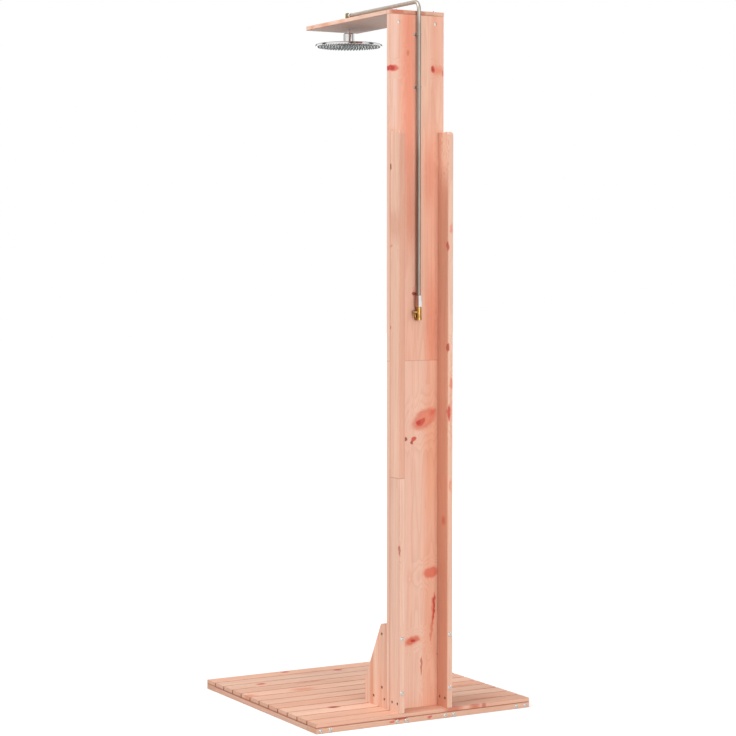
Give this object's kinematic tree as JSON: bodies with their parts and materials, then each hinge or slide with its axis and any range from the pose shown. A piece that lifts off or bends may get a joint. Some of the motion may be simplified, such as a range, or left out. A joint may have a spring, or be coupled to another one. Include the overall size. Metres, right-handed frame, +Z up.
{
  "type": "outdoor shower post",
  "caption": "Free-standing wooden outdoor shower: slatted deck, channel-shaped board post, short roof board, riser tube with lever valve and a tilting round overhead shower.",
  "frame": {"origin": "centre of the deck's footprint at the ground", "axes": "+X along the deck's near edge on the plumbing side, +Y from the plumbing side to the showering side, +Z up"},
  "size_m": [0.8, 0.804, 2.3125],
  "materials": {
    "softwood": "planed, oiled pink softwood with reddish knots",
    "zinc_bolts": "zinc-plated, domed",
    "barrel_nuts": "zinc-plated",
    "wood_screws": "zinc-plated",
    "tube": "satin stainless tube",
    "clips": "satin stainless strip",
    "stem": "polished",
    "chrome": "polished",
    "brass": "machined, slightly dulled",
    "rubber_washer": "black rubber",
    "seal_plastic": "white seat plastic",
    "face": "polished face plate",
    "nozzle_rubber": "grey silicone"
  },
  "bodies": {
    "post": {"rail_near": "softwood", "rail_far": "softwood", "joist_1": "softwood", "joist_2": "softwood", "joist_3": "softwood", "joist_4": "softwood", "slat_01": "softwood", "slat_02": "softwood", "slat_03": "softwood", "slat_04": "softwood", "slat_05": "softwood", "slat_06": "softwood", "slat_07": "softwood", "slat_08": "softwood", "slat_09": "softwood", "slat_10": "softwood", "slat_11": "softwood", "slat_12": "softwood", "rail_bolts": "zinc_bolts", "joist_barrel_nuts": "barrel_nuts", "slat_screws": "wood_screws", "flange_lower_left": "softwood", "flange_upper_left": "softwood", "gusset_left": "softwood", "flange_lower_right": "softwood", "flange_upper_right": "softwood", "gusset_right": "softwood", "web_lower": "softwood", "web_upper": "softwood", "roof_board": "softwood", "flange_bolts": "zinc_bolts", "gusset_barrel_nuts": "barrel_nuts", "foot_bolts": "zinc_bolts", "foot_barrel_nuts": "barrel_nuts", "roof_bolts": "zinc_bolts", "roof_barrel_nuts": "barrel_nuts", "web_screws": "wood_screws", "riser_tube": "tube", "tube_clips": "clips", "clip_screws": "wood_screws", "tube_adapter": "chrome", "tube_nut": "chrome", "tube_olives": "brass", "valve_body": "brass", "valve_seats": "seal_plastic", "spindle_gland": "brass", "elbow": "brass", "elbow_nut": "chrome", "roof_washer": "rubber_washer", "drop_stem": "stem"},
    "valve_handle": {"valve_ball": "brass", "valve_spindle": "brass", "valve_lever": "brass", "lever_nut": "chrome"},
    "shower_swivel": {"swivel_ball": "chrome"},
    "shower": {"swivel_nut": "chrome", "swivel_seat": "seal_plastic", "shower_shell": "chrome", "face_plate": "face", "nozzle_mat": "nozzle_rubber"}
  },
  "joints": [
    {"name": "lever_turn", "type": "hinge", "parent": "post", "child": "valve_handle", "pos_m": [-0.0157, -0.35, 1.314], "axis": [-1, 0, 0], "range_deg": [0, 90]},
    {"name": "shower_turn", "type": "hinge", "parent": "post", "child": "shower_swivel", "pos_m": [0, 0.109, 2.228], "axis": [0, 0, 1], "continuous": true},
    {"name": "shower_tilt", "type": "hinge", "parent": "shower_swivel", "child": "shower", "pos_m": [0, 0.109, 2.228], "axis": [1, 0, 0], "range_deg": [-15, 15]}
  ]
}
